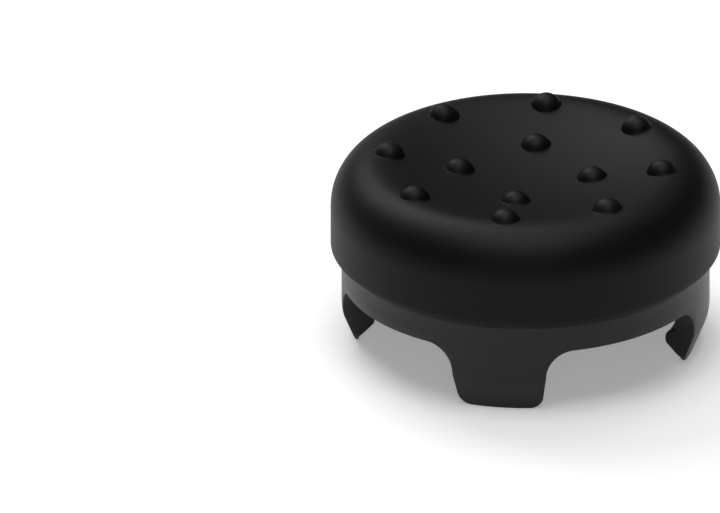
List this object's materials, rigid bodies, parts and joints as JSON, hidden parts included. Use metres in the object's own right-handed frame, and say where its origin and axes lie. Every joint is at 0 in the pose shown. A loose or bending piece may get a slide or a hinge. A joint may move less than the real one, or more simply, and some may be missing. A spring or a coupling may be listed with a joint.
{
  "type": "controller thumb grip",
  "caption": "Round clip-on thumb grip: a soft rubber cap with a dished, nubbed top on a rigid plastic ring whose legs snap under the head of a controller's thumbstick.",
  "frame": {"origin": "on the grip's axis, in the plane of the four clip tips that it stands on", "axes": "+Z along the grip's axis from the clips to the dished top; the clips stand on the X and Y axes, one of them at -Y"},
  "size_m": [0.022, 0.022, 0.0115],
  "materials": {
    "cap_rubber": "soft matt black rubber with a very fine grain",
    "base_plastic": "smooth satin dark grey injection moulded plastic"
  },
  "bodies": {
    "root": {"rubber_cap": "cap_rubber", "clip_base": "base_plastic"}
  },
  "joints": []
}
